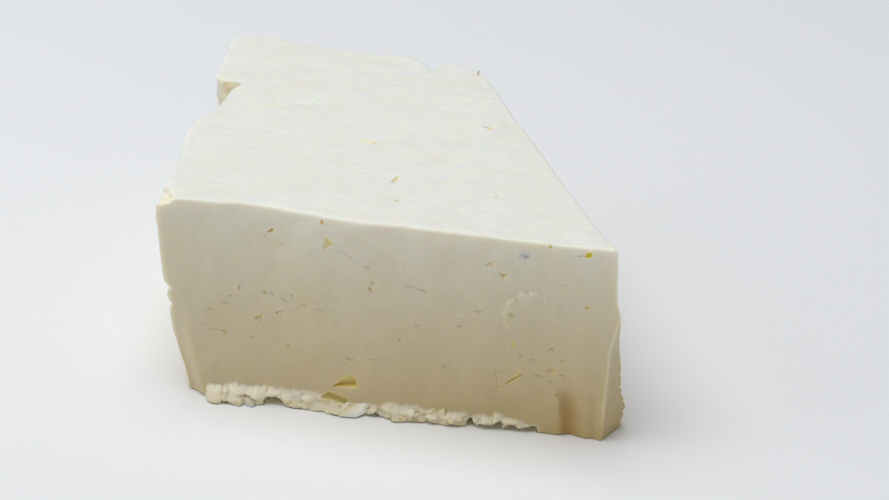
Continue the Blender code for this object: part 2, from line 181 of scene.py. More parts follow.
# One curd, 13 mm across, stands a little proud of the front face near its right end. The rim of it
# that faces this way, in degrees from the right, is the highest.
CURD_CENTRE, CURD_RADIUS, CURD_PROUD, CURD_FACING = (82.1, 28.6), 6.4, 0.50, 130
# Where the lip tore, its curds broke into pieces of about this size.
CURD_BROKEN = 2.8
# Under the cave the lip is hollow between these places along it, over a ledge of this height.
BROKEN_FROM, BROKEN_TO, BROKEN_LEDGE = (32.0, 35.5), (40.4, 41.6), (0.5, 1.6)
# The fold beside the right foot: where it dips and where it comes out again, its depth and its top.
FOLD_FROM, FOLD_TO, FOLD_DEPTH, FOLD_TOP = (88.4, 89.8), (90.4, 94.2), 0.9, (9.0, 14.0)
# A dent beside it: place, width, depth.
DENT_PLACE, DENT_WIDTH, DENT_IN = 96.2, 0.8, 0.36
# The lumps of the torn lip at the foot of the front face: from and to along it, height, how far out.
LIP_LUMPS = (
    (8.4, 13.6, 3.3, 2.5), (12.4, 18.2, 4.2, 2.9), (17.2, 22.8, 4.2, 3.1), (21.4, 26.8, 4.3, 1.3),
    (25.4, 31.4, 4.4, 1.8), (30.0, 36.9, 4.2, 2.2), (35.4, 41.4, 2.8, 2.4), (44.6, 50.6, 3.0, 0.9),
    (49.0, 57.9, 3.9, 2.0), (56.0, 62.6, 3.6, 1.3), (61.6, 68.7, 3.5, 1.2), (68.9, 74.4, 3.3, 1.1),
    (74.0, 76.0, 4.0, 1.2), (75.6, 80.8, 3.2, 1.2), (80.2, 84.6, 2.2, 0.9),
)  # fmt: skip


def proud_curd(x, z):
    """The curd's upper left rim stands out of the face, and its lower right side runs into it."""
    away = math.hypot(x - CURD_CENTRE[0], 0.95 * (z - CURD_CENTRE[1]))
    away += 1.1 * grain((x, 0.0, z), 2.6, 22.0) + 0.6 * grain((x, 0.0, z), 1.1, 23.0)
    direction = math.atan2(z - CURD_CENTRE[1], x - CURD_CENTRE[0])
    facing = 0.5 + 0.5 * math.cos(direction - math.radians(CURD_FACING))
    return CURD_PROUD * facing * (1.0 - rise(away, CURD_RADIUS - 0.45, CURD_RADIUS + 0.1))


def lip_share(x, height):
    """How far the lumps of the lip stand out of the face at this place along and up it."""
    proud = 0.0
    for start, end, top, out in LIP_LUMPS:
        across = (x - 0.5 * (start + end)) / (0.5 * (end - start))
        if abs(across) < 1.0:
            ledge = top + 0.6 * grain((x, 0.0, 0.0), 1.9, 32.0) + 0.6 * grain((x, 0.0, 0.0), 0.8, 36.0)
            lump = out * (1.0 - abs(across) ** 3) ** 0.7 * max(0.0, 1.0 - (height / ledge) ** 1.8)
            proud = max(proud, lump * (1.0 + 0.35 * grain((x, 0.0, height), 3.2, 33.0)))
    # Under the cave the lip broke away again and left a smooth hollow over a thin ledge.
    broken = rise(x, *BROKEN_FROM) * (1.0 - rise(x, *BROKEN_TO)) * rise(height, *BROKEN_LEDGE)
    return proud * (1.0 - 0.8 * broken)


def foot_relief(x, height):
    """The lumps of the torn lip, broken into curds, and the fold beside the right foot."""
    along = x + 0.12 * (height - 5.0)
    fold = -FOLD_DEPTH * rise(along, *FOLD_FROM) * (1.0 - rise(along, *FOLD_TO))
    fold -= DENT_IN * bump(x, DENT_PLACE, DENT_WIDTH)
    fold *= 1.0 - rise(height, *FOLD_TOP)
    proud = lip_share(x, height)
    if proud > 0.0:
        spot = Vector((0.6 * x, 0.4 * x, 1.5 * height)) / CURD_BROKEN
        near, places = noise.voronoi(spot)
        curds = rise(near[1] - near[0], 0.0, 0.45) - 0.6
        curd_out = grain(places[0] * 7.3, 1.0, 35.0)
        tilted = (spot - places[0]).dot(Vector((0.7, 0.0, 0.7)) * (1.0 if curd_out > 0.0 else -1.0))
        proud += min(1.0, 1.8 * proud) * (0.40 * curds + 0.95 * curd_out + 0.65 * tilted)
    return fold + max(0.0, proud)


def outward(start, end):
    """The way that a face from start to end looks, level."""
    run = (end - start).normalized()
    return Vector((run.y, -run.x, 0.0))


def face_point(index, along, height):
    """A point on a face, where each of its corners has been moved by the face beyond it."""
    name, start, end, swell = FACES[index]
    before, after = FACES[index - 1], FACES[(index + 1) % 4]
    length = (end - start).length
    start_moved = start + outward(before[1], before[2]) * before[3]((before[2] - before[1]).length, height)
    end_moved = end + outward(after[1], after[2]) * after[3](0.0, height)
    spot = start_moved.lerp(end_moved, along / length)
    spot.z = height
    relief = FACE_GRAIN * (grain(spot, 11.0, 3.0) + 0.5 * grain(spot, 4.5, 7.0))
    depth, size = FACE_TEAR[name]
    tear = grain(spot, size, 12.0) + 0.5 * grain(spot, 0.45 * size, 13.0)
    fine = 0.0
    if name == "front":
        fine = proud_curd(spot.x, height) + foot_relief(spot.x, height)
    elif name == "cut":
        fine = CRUMBLE_DEPTH * grain(spot, 0.8, 41.0) * bump(along, CRUMBLE_PLACE, CRUMBLE_REACH)
        fine *= 1.0 - rise(height, *CRUMBLE_TOP)
    return spot + outward(start, end) * (swell(along, height) + relief + depth * tear + fine)


def ring_points(height):
    """The points once round the block at this height."""
    points = []
    for index, (name, start, end, _) in enumerate(FACES):
        length = (end - start).length
        steps = round(length / FACE_SPACING[name])
        bunch = CUT_BUNCH if name == "cut" else 1.0
        points += [face_point(index, length * (step / steps) ** bunch, height) for step in range(steps)]
    return points


def drawn_in(points, inset):
    """A ring's points, each moved level towards the heart of the block."""
    return [point + (HEART - Vector((point.x, point.y, 0.0))).normalized() * inset for point in points]


def top_height(x, y):
    """The wire left the top flat but for shallow waves."""
    return BLOCK_HEIGHT + TOP_GRAIN * (grain((x, y, 0.0), 26.0, 5.0) + 0.35 * grain((x, y, 0.0), 8.0, 9.0))


def block_mesh():
    """Rings up the sides and over the rounded rim, then smaller rings across the top and the base."""
    rings = [drawn_in(ring_points(0.0), BASE_EDGE_RADIUS)]
    height = BASE_EDGE_RADIUS
    while height < BLOCK_HEIGHT - ROWS_STOP_SHORT:
        rings.append(ring_points(height))
        height += ROW_SPACING
    rim = ring_points(BLOCK_HEIGHT)
    for step in range(RIM_STEPS + 1):
        turn = math.radians(90 / RIM_STEPS * step)
        ring = drawn_in(rim, TOP_EDGE_RADIUS * (1.0 - math.cos(turn)))
        drop = TOP_EDGE_RADIUS * (1.0 - math.sin(turn))
        rings.append([Vector((p.x, p.y, top_height(p.x, p.y) - drop)) for p in ring])
    last = rings[-1]
    for share in CAP_SHARES:
        ring = [HEART.lerp(Vector((p.x, p.y, 0.0)), share) for p in last]
        rings.append([Vector((p.x, p.y, top_height(p.x, p.y))) for p in ring])
    mesh = bmesh.new()
    rows = [[mesh.verts.new((point - PLAN_CENTRE) * MM) for point in ring] for ring in rings]
    count = len(rows[0])
    around = [(i, (i + 1) % count) for i in range(count)]
    for low, high in zip(rows, rows[1:]):
        for i, j in around:
            mesh.faces.new((low[i], low[j], high[j], high[i]))
    crown = mesh.verts.new((Vector((HEART.x, HEART.y, top_height(HEART.x, HEART.y))) - PLAN_CENTRE) * MM)
    foot = mesh.verts.new((HEART - PLAN_CENTRE) * MM)
    for i, j in around:
        mesh.faces.new((rows[-1][i], rows[-1][j], crown))
        mesh.faces.new((foot, rows[0][j], rows[0][i]))
    bmesh.ops.recalc_face_normals(mesh, faces=mesh.faces)
    return mesh


def new_object(name, mesh, collection):
    """An object in its collection from a bmesh, which is split into triangles and let go."""
    bmesh.ops.triangulate(mesh, faces=mesh.faces)
    data = bpy.data.meshes.new(name)
    mesh.to_mesh(data)
    mesh.free()
    made = bpy.data.objects.new(name, data)
    collection.objects.link(made)
    return made


def new_collection(name):
    made = bpy.data.collections.new(name)
    bpy.context.scene.collection.children.link(made)
    return made


cheese = new_collection("Frying cheese")
block = new_object("frying_cheese", block_mesh(), cheese)


def apply_boolean(operation, others):
    """Cuts or joins a whole collection of helpers, keeps the result and removes the helpers."""
    modifier = block.modifiers.new(operation, "BOOLEAN")
    modifier.operation = operation
    modifier.operand_type = "COLLECTION"
    modifier.collection = others
    modifier.solver = "MANIFOLD"
    graph = bpy.context.evaluated_depsgraph_get()
    shape = bpy.data.meshes.new_from_object(block.evaluated_get(graph))
    block.modifiers.clear()
    block.data = shape
    for made in list(others.objects):
        bpy.data.objects.remove(made, do_unlink=True)
    bpy.data.collections.remove(others)


# ---------------------------------------------------------------- the torn places
# Where the block was lifted from its mould a step of curd stayed behind on the left, the back edge lost
# a bite, and small chips left the rims. Each is cut out of the block with a rough helper.

torn = new_collection("Torn places")


def set_down(mesh, centre, size, turn):
    """Stretches a ball of radius 1 to a size in mm, turns it and moves it to its place in the frame."""
    scale = Matrix.Diagonal(Vector(size) * 0.5).to_4x4()
    place = Matrix.Translation(Vector(centre) - PLAN_CENTRE) @ turn.to_matrix().to_4x4() @ scale
    bmesh.ops.transform(mesh, matrix=Matrix.Diagonal((MM, MM, MM, 1.0)) @ place, verts=mesh.verts)


def pebble(name, centre, size, turn, collection, roughness=0.22, fineness=4, seed=1.0, crumb=0.0):
    """An uneven ball: an eye left by gas and whey, or a curd. crumb adds a finer broken relief."""
    mesh = bmesh.new()
    bmesh.ops.create_icosphere(mesh, subdivisions=fineness, radius=1.0)
    for vert in mesh.verts:
        share = 1.0 + roughness * grain(vert.co, 0.9, seed)
        broken = 0.6 - 2.0 * abs(grain(vert.co, 0.4, seed)) + 0.6 * grain(vert.co, 0.16, seed)
        vert.co *= share + crumb * broken
    set_down(mesh, centre, size, turn)
    return new_object(name, mesh, collection)


def shrunk(plan, share):
    """A plan drawn in towards its own middle."""
    middle_x = sum(x for x, _ in plan) / len(plan)
    middle_y = sum(y for _, y in plan) / len(plan)
    return [(middle_x + share * (x - middle_x), middle_y + share * (y - middle_y)) for x, y in plan]


TEAR_SPACING, MOST_STEPS = 0.45, 60


def rough_prism(name, low_plan, high_plan, low, high, rough, size, seed):
    """A cutter between two plans, drawn round and up in short runs so that its walls come out torn."""
    low_corners = [Vector((x, y, low)) for x, y in low_plan]
    high_corners = [Vector((x, y, high)) for x, y in high_plan]
    runs = []
    for i in range(len(low_plan)):
        j = (i + 1) % len(low_plan)
        longest = max((low_corners[j] - low_corners[i]).length, (high_corners[j] - high_corners[i]).length)
        steps = min(MOST_STEPS, max(2, round(longest / TEAR_SPACING)))
        runs += [(i, j, step / steps) for step in range(steps)]
    levels = round((high - low) / TEAR_SPACING)
    mesh = bmesh.new()
    rows = []
    for level in range(levels + 1):
        row = []
        for i, j, share in runs:
            foot = low_corners[i].lerp(low_corners[j], share)
            head = high_corners[i].lerp(high_corners[j], share)
            spot = foot.lerp(head, level / levels)
            along = (high_corners[j] - high_corners[i]).normalized()
            tear = grain(spot, size, seed) + 0.5 * grain(spot, 0.45 * size, seed + 1.0)
            out = Vector((along.y, -along.x, 0.0)) * rough * tear
            row.append(mesh.verts.new((spot + out - PLAN_CENTRE) * MM))
        rows.append(row)
    for lower, upper in zip(rows, rows[1:]):
        for i in range(len(runs)):
            j = (i + 1) % len(runs)
            mesh.faces.new((lower[i], lower[j], upper[j], upper[i]))
    mesh.faces.new(rows[0])
    mesh.faces.new(rows[-1])
    bmesh.ops.recalc_face_normals(mesh, faces=mesh.faces)
    return new_object(name, mesh, torn)


# Every cutter that opens the top ends clear above it.
TORN_TOP = BLOCK_HEIGHT + 3.0
STEP_PLAN = ((-30.0, 46.5), (-3.6, 47.1), (-3.0, 57.0), (-2.6, 65.5), (-1.2, 68.0), (-30.0, 67.4))
BITE_PLAN = ((31.0, 102.0), (34.0, 93.6), (39.1, 88.8), (40.7, 84.9))
BITE_PLAN += ((41.9, 84.0), (42.5, 86.2), (41.8, 91.4), (42.4, 102.0))
NICK_PLAN = ((48.2, 94.0), (50.5, 87.0), (51.1, 87.2), (51.4, 94.0))
CORNER_PLAN = ((52.5, 94.0), (52.7, 85.5), (54.2, 84.5), (66.0, 84.5), (66.0, 94.0))
# The knife also took a narrow facet off the front right edge: its plan at the foot, at the bend, where
# it turns steeper, and at its top end.
FACET_BEND_HEIGHT, FACET_TOP, FACET_OVERLAP = 23.0, 34.0, 0.05
FACET_LOW = ((98.0, -20.0), (98.0, 0.6), (102.4, 10.2), (120.0, 10.2), (120.0, -20.0))
FACET_BEND = ((99.3, -20.0), (99.3, -0.3), (102.0, 5.6), (120.0, 5.6), (120.0, -20.0))
FACET_HIGH = ((101.7, -20.0), (101.7, -0.6), (102.6, 1.4), (120.0, 1.4), (120.0, -20.0))
# Each tear: its plan at its foot and at its top, from and to which height it goes, how deep and how
# coarse its walls are torn, and the seed of that.
TEARS = {
    "step": (shrunk(STEP_PLAN, 0.85), STEP_PLAN, 6.0, TORN_TOP, 0.6, 2.4, 14.0),
    "bite": (shrunk(BITE_PLAN, 0.7), BITE_PLAN, 21.0, TORN_TOP, 0.5, 2.0, 15.0),
    "nick": (shrunk(NICK_PLAN, 0.7), NICK_PLAN, 34.0, TORN_TOP, 0.2, 1.5, 16.0),
    "corner": (CORNER_PLAN, CORNER_PLAN, 34.0, TORN_TOP, 0.3, 1.5, 17.0),
    "facet": (FACET_LOW, FACET_BEND, -1.0, FACET_BEND_HEIGHT, 0.12, 1.5, 18.0),
    "facet_top": (FACET_BEND, FACET_HIGH, FACET_BEND_HEIGHT - FACET_OVERLAP, FACET_TOP, 0.12, 1.5, 18.0),
}
for name, tear in TEARS.items():
    rough_prism("cutter_" + name, *tear)
# Chips out of the rim of the top: across, back, length, width, depth.
RIM_CHIPS = {
    "front_rim": (24.9, 2.5, 3.0, 2.4, 1.6),
    "cut_rim": (86.6, 24.4, 2.0, 2.2, 1.4),
    "left_nick": (-5.2, 24.6, 2.6, 4.0, 3.0),
}
for name, (x, y, long, wide, tall) in RIM_CHIPS.items():
    centre = (x, y, BLOCK_HEIGHT + 0.3)
    pebble("cutter_" + name, centre, (long, wide, tall), Euler((0, 0, 0.4)), torn, seed=x, crumb=0.08)
apply_boolean("DIFFERENCE", torn)
# The unbroken skin, from which the depth of each eye and crumb is told later.
skin = BVHTree.FromObject(block, bpy.context.evaluated_depsgraph_get())

# ---------------------------------------------------------------- eyes, slits and seams
# Gas and trapped whey leave eyes between the curds. The knife opens some of them on the front face, as
# pits with a sharp lip, and where curds met but barely knitted the face shows a thin open seam.

# The deep eyes, which show yellow: along the face, up it, width, height, depth, tilt in degrees.
FRONT_EYES = {
    "rim_slot": (23.4, 41.8, 1.7, 0.8, 0.6, 45), "rim_pin": (35.4, 45.9, 0.7, 1.3, 0.6, 0),
    "small_left": (12.6, 16.2, 1.0, 1.2, 0.45, 20), "small_middle": (27.2, 14.5, 1.0, 0.6, 0.4, 0),
    "right_pin": (85.6, 46.7, 0.8, 0.6, 0.5, 0), "rim_eye": (93.9, 45.8, 1.5, 1.1, 0.7, 10),
    "corner_eye": (77.9, 22.0, 0.9, 1.2, 0.45, -15), "dark_pin": (93.9, 33.2, 1.1, 0.7, 0.35, 30),
}  # fmt: skip
# Scoops that the knife dragged out of the face, overhung above and open below: as the eyes.
SCOOPS = (
    (22.1, 40.2, 0.5, 0.5, 0.4, 0), (18.7, 38.5, 0.5, 0.5, 0.5, 0), (25.7, 38.7, 1.7, 0.4, 0.3, 40),
    (16.1, 27.2, 0.8, 1.9, 0.7, 0), (21.8, 26.7, 1.4, 1.6, 0.7, 0), (23.5, 26.7, 1.1, 1.2, 0.7, 0),
    (26.2, 25.4, 1.4, 0.8, 0.6, -45), (28.0, 26.7, 0.8, 1.1, 0.6, 0), (14.0, 25.1, 0.8, 0.8, 0.3, 0),
    (13.2, 23.4, 2.3, 0.4, 0.25, 4), (9.1, 21.6, 1.0, 0.8, 0.5, 0), (20.4, 20.6, 2.4, 1.0, 0.8, 33),
    (25.2, 22.4, 2.0, 0.7, 0.6, 35), (31.2, 24.9, 1.0, 0.8, 0.55, 0), (34.3, 24.5, 1.9, 0.6, 0.3, 0),
    (19.0, 15.5, 1.2, 0.8, 0.45, 0), (7.7, 17.8, 0.8, 0.6, 0.3, 0), (36.9, 45.6, 0.45, 0.45, 0.5, 0),
    (45.6, 36.8, 1.3, 0.9, 0.35, 0), (46.2, 31.5, 1.1, 2.4, 0.8, -19), (46.8, 33.0, 0.8, 2.0, 0.7, -19),
    (53.8, 38.5, 1.0, 0.6, 0.25, 0), (58.2, 32.6, 1.3, 0.8, 0.6, -10), (37.8, 25.0, 0.7, 0.6, 0.25, 0),
    (38.4, 20.7, 0.7, 0.6, 0.25, 0), (56.8, 24.1, 1.3, 0.4, 0.25, 0), (52.9, 19.9, 0.6, 1.0, 0.4, 0),
    (41.6, 13.3, 1.6, 0.7, 0.45, -12), (46.4, 14.1, 1.0, 0.7, 0.45, 15), (72.6, 41.1, 2.7, 1.0, 0.9, 38),
    (80.1, 43.7, 2.0, 1.2, 0.15, 0), (89.1, 37.8, 0.6, 0.9, 0.4, 0), (92.3, 33.2, 0.5, 0.5, 0.3, 0),
    (77.6, 29.6, 1.2, 1.8, 0.6, 0), (78.6, 33.0, 1.0, 1.6, 0.6, -20), (79.8, 19.4, 1.0, 0.8, 0.5, 0),
    (82.3, 18.7, 1.9, 0.7, 0.5, 30), (86.5, 22.0, 1.8, 0.8, 0.55, 50), (89.0, 19.4, 1.0, 1.0, 0.6, 0),
    (75.4, 32.4, 0.7, 0.7, 0.3, 0), (70.1, 29.2, 1.9, 0.5, 0.2, 0), (71.7, 21.3, 1.2, 0.5, 0.25, 0),
    (86.9, 16.5, 1.8, 1.3, 0.8, 0), (89.1, 15.8, 1.4, 0.6, 0.6, 20), (86.5, 13.9, 0.9, 0.7, 0.5, 0),
    (88.0, 10.6, 1.4, 0.5, 0.4, -50), (62.6, 14.4, 1.2, 0.6, 0.2, 0), (66.0, 25.0, 1.6, 0.5, 0.15, 0),
)  # fmt: skip
# They reach only this share of that depth, so that light fills them.
SCOOP_SHARE = 0.42
# Seams between curds: width, depth, then the places along and up the face that they run through.
SEAMS = {
    "arrow_tail": (0.10, 0.15, (38.1, 39.5), (40.1, 39.2), (41.7, 38.5), (43.0, 37.2)),
    "slit": (0.12, 0.2, (53.3, 33.2), (55.5, 33.1), (58.2, 32.6)),
    "rim_tail": (0.22, 0.4, (91.5, 45.3), (92.6, 45.5), (93.9, 45.8)),
    "left_tail": (0.12, 0.2, (9.2, 16.6), (11.0, 16.5), (12.6, 16.3)),
    "pin_tail": (0.10, 0.15, (28.5, 23.4), (29.8, 24.1), (31.2, 24.9)),
    "arc": (0.16, 0.3, (82.5, 14.7), (83.9, 14.9), (85.1, 14.4)),
    "flake_crack": (0.55, 1.0, (76.6, 11.6), (78.2, 13.0), (80.3, 14.6)),
}  # fmt: skip
# The eyes that the wire opened on the top: across, back, length, width, depth, turn in degrees.
TOP_EYES = {
    "middle_slit": (36.2, 41.6, 4.6, 1.6, 0.7, -17),
    "front_slit": (46.7, 23.2, 1.2, 3.9, 0.75, -10),
    "cut_slit": (61.6, 54.8, 2.4, 1.1, 0.6, -16),
    "front_pin": (49.5, 12.6, 1.0, 0.9, 0.45, 0),
    "right_pin": (70.2, 19.3, 0.8, 0.8, 0.45, 0),
}
# Shallow pits that the wire dragged nearly shut: across, back, length, width, depth.
TOP_PITS = (
    (9.9, 57.3, 1.6, 1.8, 0.22), (19.4, 62.3, 1.2, 1.8, 0.20), (6.9, 49.5, 1.0, 1.2, 0.14),
    (13.4, 41.8, 1.3, 2.0, 0.2), (4.2, 37.5, 0.9, 1.2, 0.12), (12.8, 32.9, 1.1, 1.4, 0.14),
    (17.5, 25.1, 1.0, 1.0, 0.12), (10.7, 20.1, 1.2, 1.2, 0.14), (17.0, 9.2, 1.4, 1.3, 0.2),
    (24.3, 14.4, 1.2, 1.2, 0.14), (36.1, 19.9, 1.0, 1.0, 0.12), (14.0, 78.0, 3.6, 1.6, 0.14),
)  # fmt: skip
# How far the outline and the surface of each kind wander, as shares of its size.
EYE_ROUGH, EYE_BROKEN, TOP_EYE_BROKEN = 0.45, 0.10, 0.12
SCOOP_ROUGH, SCOOP_BROKEN = 0.5, 0.14
PIT_ROUGH, PIT_BROKEN = 0.3, 0.1

eyes = new_collection("Eyes")
# The front left corner of the top wore away in one soft scoop.
WORN_CORNER, WORN_SIZE = Vector((-2.6, 3.6, 47.8)), (8.6, 8.6, 5.4)
pebble("cutter_left_corner", WORN_CORNER, WORN_SIZE, Euler((0, 0, 0.4)), eyes, 0.22, 4, -2.6, 0.1)

LONGEST_FRONT, HALVINGS = 101.0, 18


def front_spot(x, z):
    """The point of the front face at this place along and up it, found by halving."""
    low, high = 0.0, LONGEST_FRONT
    for _ in range(HALVINGS):
        middle = (low + high) / 2
        low, high = (middle, high) if face_point(0, middle, z).x < x else (low, middle)
    return face_point(0, low, z)


INWARD = Vector((0.0, 1.0, 0.0))


def tube(name, spots, width, depth, collection):
    """A tapered blade along a line on the front face, wide at the face and closed at both ends."""
    section = (
        (-0.5 * width, -0.5), (0.5 * width, -0.5), (0.55 * width, 0.0),
        (0.1 * width, depth), (-0.1 * width, depth), (-0.45 * width, 0.0),
    )  # fmt: skip
    mesh = bmesh.new()
    rows = []
    last = len(spots) - 1
    for step, spot in enumerate(spots):
        run = (spots[min(last, step + 1)] - spots[max(0, step - 1)]).normalized()
        side = run.cross(INWARD).normalized()
        fade = 0.12 + 0.88 * max(0.0, math.sin(math.pi * step / last)) ** 0.6
        fade *= 1.0 + 0.5 * grain(spot, 1.1, 17.0)
        row = []
        for across, deep in section:
            inset = deep * (fade if deep > 0 else 1.0)
            row.append(mesh.verts.new((spot + side * across * fade + INWARD * inset - PLAN_CENTRE) * MM))
        rows.append(row)
    for low, high in zip(rows, rows[1:]):
        for i in range(len(section)):
            j = (i + 1) % len(section)
            mesh.faces.new((low[i], low[j], high[j], high[i]))
    mesh.faces.new(rows[0])
    mesh.faces.new(rows[-1])
    bmesh.ops.recalc_face_normals(mesh, faces=mesh.faces)
    return new_object(name, mesh, collection)


def smooth_line(places, spacing=0.35):
    """Points on a smooth curve through the places, close enough together for a curved blade."""
    ends = [places[0]] + list(places) + [places[-1]]
    line = []
    for a, b, c, d in zip(ends, ends[1:], ends[2:], ends[3:]):
        a, b, c, d = (np.array(v) for v in (a, b, c, d))
        steps = max(2, round(float(np.linalg.norm(c - b)) / spacing))
        for step in range(steps):
            t = step / steps
            curve = 2 * b + (c - a) * t + (2 * a - 5 * b + 4 * c - d) * t**2 + (3 * b - a - 3 * c + d) * t**3
            line.append(0.5 * curve)
    return line + [np.array(places[-1])]


# A scoop wider than this has a second, slanting tick beside it.
TICK_FROM, TICK_SLANT = 0.9, 38
for index, (name, (x, z, wide, tall, deep, tilt)) in enumerate(FRONT_EYES.items()):
    centre = Vector((x, front_spot(x, z).y + 0.15 * deep, z))
    turn = Euler((-0.25, math.radians(-tilt), 0.0))
    size = (wide, deep * 1.7, tall)
    pebble("cutter_" + name, centre, size, turn, eyes, EYE_ROUGH, 3, 20.0 + index, EYE_BROKEN)
for index, (x, z, wide, tall, deep, tilt) in enumerate(SCOOPS):
    turn = Euler((-0.5, math.radians(-tilt), 0.0))
    size = (wide, SCOOP_SHARE * 2.0 * deep, 1.15 * tall)
    fineness = 3 if wide > 1.0 else 2
    spot, seed = front_spot(x, z), 90.0 + index
    pebble(f"cutter_scoop_{index}", spot, size, turn, eyes, SCOOP_ROUGH, fineness, seed, SCOOP_BROKEN)
    if wide > TICK_FROM:
        turn = Euler((-0.5, math.radians(-tilt - TICK_SLANT), 0.0))
        spot = front_spot(x + 0.28 * wide, z - 0.2 * tall)
        size = (0.75 * wide, SCOOP_SHARE * 1.5 * deep, 0.7 * tall)
        seed = 150.0 + index
        pebble(f"cutter_tick_{index}", spot, size, turn, eyes, SCOOP_ROUGH, 3, seed, SCOOP_BROKEN)
for name, (width, depth, *places) in SEAMS.items():
    spots = [front_spot(x, z) for x, z in smooth_line(places)]
    tube("cutter_" + name, spots, width, depth, eyes)
for index, (name, (x, y, long, wide, deep, turned)) in enumerate(TOP_EYES.items()):
    centre = (x, y, top_height(x, y) - 0.1 * deep)
    turn = Euler((0.0, 0.0, math.radians(turned)))
    size = (long, wide, 1.6 * deep)
    pebble("cutter_top_" + name, centre, size, turn, eyes, EYE_ROUGH, 3, 40.0 + index, TOP_EYE_BROKEN)
for index, (x, y, long, wide, deep) in enumerate(TOP_PITS):
    centre = (x, y, top_height(x, y) + 0.35 * deep)
    turn, size = Euler((0, 0, 0.7 * index)), (long, wide, 2.4 * deep)
    pebble(f"cutter_pit_{index}", centre, size, turn, eyes, PIT_ROUGH, 3, 50.0 + index, PIT_BROKEN)


def wear_soft(mesh, times):
    """Softens every edge, each time by drawing the points half way to their neighbours."""
    axes = {"use_axis_x": True, "use_axis_y": True, "use_axis_z": True}
    for _ in range(times):
        bmesh.ops.smooth_vert(mesh, verts=mesh.verts, factor=0.5, **axes)


def hull(name, corners, collection, softened=0):
    """The flat-sided solid around a few corners, its edges worn softened times over."""
    mesh = bmesh.new()
    for corner in corners:
        mesh.verts.new((Vector(corner) - PLAN_CENTRE) * MM)
    bmesh.ops.convex_hull(mesh, input=mesh.verts)
    spare = [vert for vert in mesh.verts if not vert.link_faces]
    bmesh.ops.delete(mesh, geom=spare, context="VERTS")
    if softened:
        bmesh.ops.subdivide_edges(mesh, edges=mesh.edges, cuts=7, use_grid_fill=True)
        bmesh.ops.triangulate(mesh, faces=mesh.faces)
        wear_soft(mesh, softened)
    bmesh.ops.recalc_face_normals(mesh, faces=mesh.faces)
    return new_object(name, mesh, collection)


# The flake by the right foot sits in a shallow recess, the arrow and the wing are three-sided pits, and
# the cave by the middle of the foot is a pocket with a flat ledge below it and the crevice under that.
# Each has the corners of its mouth and of its floor: along the face, in from it, up.
POCKETS = {
    "flake": (
        ((74.0, -1.0, 14.8), (79.7, -1.0, 15.8), (80.2, -1.0, 14.6), (77.3, -1.0, 12.1), (74.6, -1.0, 9.1)),
        ((74.3, 0.7, 14.6), (79.4, 0.6, 15.5), (79.8, 0.4, 14.6), (77.1, 0.3, 12.4), (74.8, 0.1, 9.6)),
    ),
    "cave": (
        ((35.9, -2.0, 5.8), (43.9, -2.0, 6.3), (42.8, -2.0, 9.4), (41.3, -2.0, 9.9)),
        ((38.4, 1.4, 5.9), (43.0, 2.4, 6.4), (42.2, 1.9, 8.7), (41.4, 1.5, 9.0)),
    ),
    "crevice": (
        ((33.8, -4.0, 3.0), (36.7, -4.0, 5.0), (41.6, -4.0, 3.6), (40.9, -4.0, 1.5), (38.4, -4.0, 1.4)),
        ((35.4, 1.6, 3.0), (36.9, 2.4, 4.4), (40.9, 2.4, 3.3), (40.6, 1.6, 1.9), (38.8, 0.6, 2.0)),
    ),
    "arrow": (
        ((36.1, -0.3, 42.9), (38.1, -0.3, 41.2), (35.1, -0.3, 38.8)),
        ((36.4, 0.9, 42.3), (37.6, 1.0, 41.3), (36.3, 0.3, 40.2)),
    ),
    "wing": (
        ((74.4, -0.3, 39.1), (76.6, -0.3, 39.1), (75.5, -0.3, 37.3)),
        ((74.8, 0.8, 39.0), (76.2, 0.8, 39.0), (75.6, 0.5, 38.4)),
    ),
}
for name, (mouth, floor) in POCKETS.items():
    hull("cutter_" + name, [(x, front_spot(x, z).y + y, z) for x, y, z in mouth + floor], eyes)

apply_boolean("DIFFERENCE", eyes)

# ---------------------------------------------------------------- the foot curds
# Where the mould met its tray the curd squeezed out, tore when the block was lifted and was pressed back
# on as crumbs. They lie along the foot, half sunk in the faces, and are flat towards the tray.

CRUMB_SEED = 12
# How many crumbs lie along each face.
CRUMBS = {"front": 30, "cut": 5, "back": 7, "left": 7}
# Their radius, their size in radii, how high they lie, and how much of the radius is sunk in the face.
CRUMB_SMALL, CRUMB_LARGE, CRUMB_SHAPE = 0.8, 1.5, (2.3, 1.9, 1.6)
CRUMB_RISE, CRUMB_SUNK, CRUMB_CORNERS = 3.0, 0.55, 10
# Those on the front start here and lie along this run. They are smaller towards its right end and on
# the other faces, and leave these places bare.
CRUMBS_FROM, CRUMBS_RUN, RIGHT_SHRINK, SIDE_SHRINK = 7.0, 72.0, 0.45, 0.7
BARE_FOOT = ((22.2, 25.8), (33.4, 44.0), (67.4, 74.2))
# The lowest crumbs end this far above the tray, or a little further.
TRAY_GAP = 0.12

loose = new_collection("Foot curds")


def crumb(name, centre, size, turn, chance):
    """An angular crumb: the hull of a few points on a ball, with its edges worn soft."""
    mesh = bmesh.new()
    for _ in range(CRUMB_CORNERS):
        mesh.verts.new(Vector([chance.gauss(0.0, 1.0) for _ in range(3)]).normalized())
    gap = TRAY_GAP + chance.uniform(0.0, 0.4)
    bmesh.ops.convex_hull(mesh, input=mesh.verts)
    bmesh.ops.subdivide_edges(mesh, edges=mesh.edges, cuts=3, use_grid_fill=True)
    bmesh.ops.triangulate(mesh, faces=mesh.faces)
    wear_soft(mesh, 1)
    for vert in mesh.verts:
        vert.co *= 1.06 + 0.10 * grain(vert.co, 0.5, gap * 90.0)
    set_down(mesh, centre, size, turn)
    for vert in mesh.verts:
        vert.co.z = max(vert.co.z, gap * MM)
    bmesh.ops.recalc_face_normals(mesh, faces=mesh.faces)
    new_object(name, mesh, loose)


